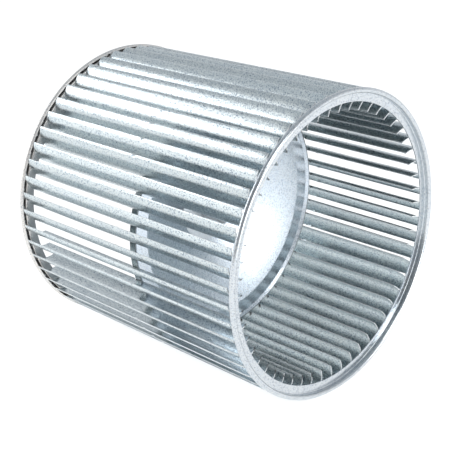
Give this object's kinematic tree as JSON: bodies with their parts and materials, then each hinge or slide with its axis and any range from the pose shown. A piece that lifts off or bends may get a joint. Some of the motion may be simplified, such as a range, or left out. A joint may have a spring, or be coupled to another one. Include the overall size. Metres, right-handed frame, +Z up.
{
  "type": "blower motor wheel",
  "caption": "Double-inlet squirrel-cage blower wheel in galvanised sheet steel: forward-curved blades between rolled end rings, dished centre disc, bored hub with set screw.",
  "frame": {"origin": "centre of the wheel, on its axis and midway between the two rolled rims", "axes": "+Y along the spin axis from the near open end to the far open end (the centre disc is dished towards +Y), +Z up, +X across; set screw points along +Z"},
  "size_m": [0.269, 0.266, 0.269],
  "materials": {
    "blade_steel": "galvanised, satin",
    "near_end_ring_steel": "galvanised, satin",
    "far_end_ring_steel": "galvanised, satin",
    "center_disc_steel": "galvanised, satin",
    "center_band_steel": "galvanised, satin",
    "hub_steel": "machined, satin",
    "set_screw_steel": "black oxide"
  },
  "bodies": {
    "wheel": {"blade_01": "blade_steel", "blade_02": "blade_steel", "blade_03": "blade_steel", "blade_04": "blade_steel", "blade_05": "blade_steel", "blade_06": "blade_steel", "blade_07": "blade_steel", "blade_08": "blade_steel", "blade_09": "blade_steel", "blade_10": "blade_steel", "blade_11": "blade_steel", "blade_12": "blade_steel", "blade_13": "blade_steel", "blade_14": "blade_steel", "blade_15": "blade_steel", "blade_16": "blade_steel", "blade_17": "blade_steel", "blade_18": "blade_steel", "blade_19": "blade_steel", "blade_20": "blade_steel", "blade_21": "blade_steel", "blade_22": "blade_steel", "blade_23": "blade_steel", "blade_24": "blade_steel", "blade_25": "blade_steel", "blade_26": "blade_steel", "blade_27": "blade_steel", "blade_28": "blade_steel", "blade_29": "blade_steel", "blade_30": "blade_steel", "blade_31": "blade_steel", "blade_32": "blade_steel", "blade_33": "blade_steel", "blade_34": "blade_steel", "blade_35": "blade_steel", "blade_36": "blade_steel", "blade_37": "blade_steel", "blade_38": "blade_steel", "blade_39": "blade_steel", "blade_40": "blade_steel", "blade_41": "blade_steel", "blade_42": "blade_steel", "blade_43": "blade_steel", "blade_44": "blade_steel", "blade_45": "blade_steel", "blade_46": "blade_steel", "blade_47": "blade_steel", "blade_48": "blade_steel", "blade_49": "blade_steel", "blade_50": "blade_steel", "blade_51": "blade_steel", "blade_52": "blade_steel", "blade_53": "blade_steel", "blade_54": "blade_steel", "near_end_ring": "near_end_ring_steel", "far_end_ring": "far_end_ring_steel", "center_disc": "center_disc_steel", "center_band": "center_band_steel", "hub": "hub_steel"},
    "set_screw": {"set_screw": "set_screw_steel"}
  },
  "joints": [
    {"name": "set_screw_slide", "type": "slide", "parent": "wheel", "child": "set_screw", "axis": [0, 0, 1], "range_m": [0, 0.005]}
  ]
}
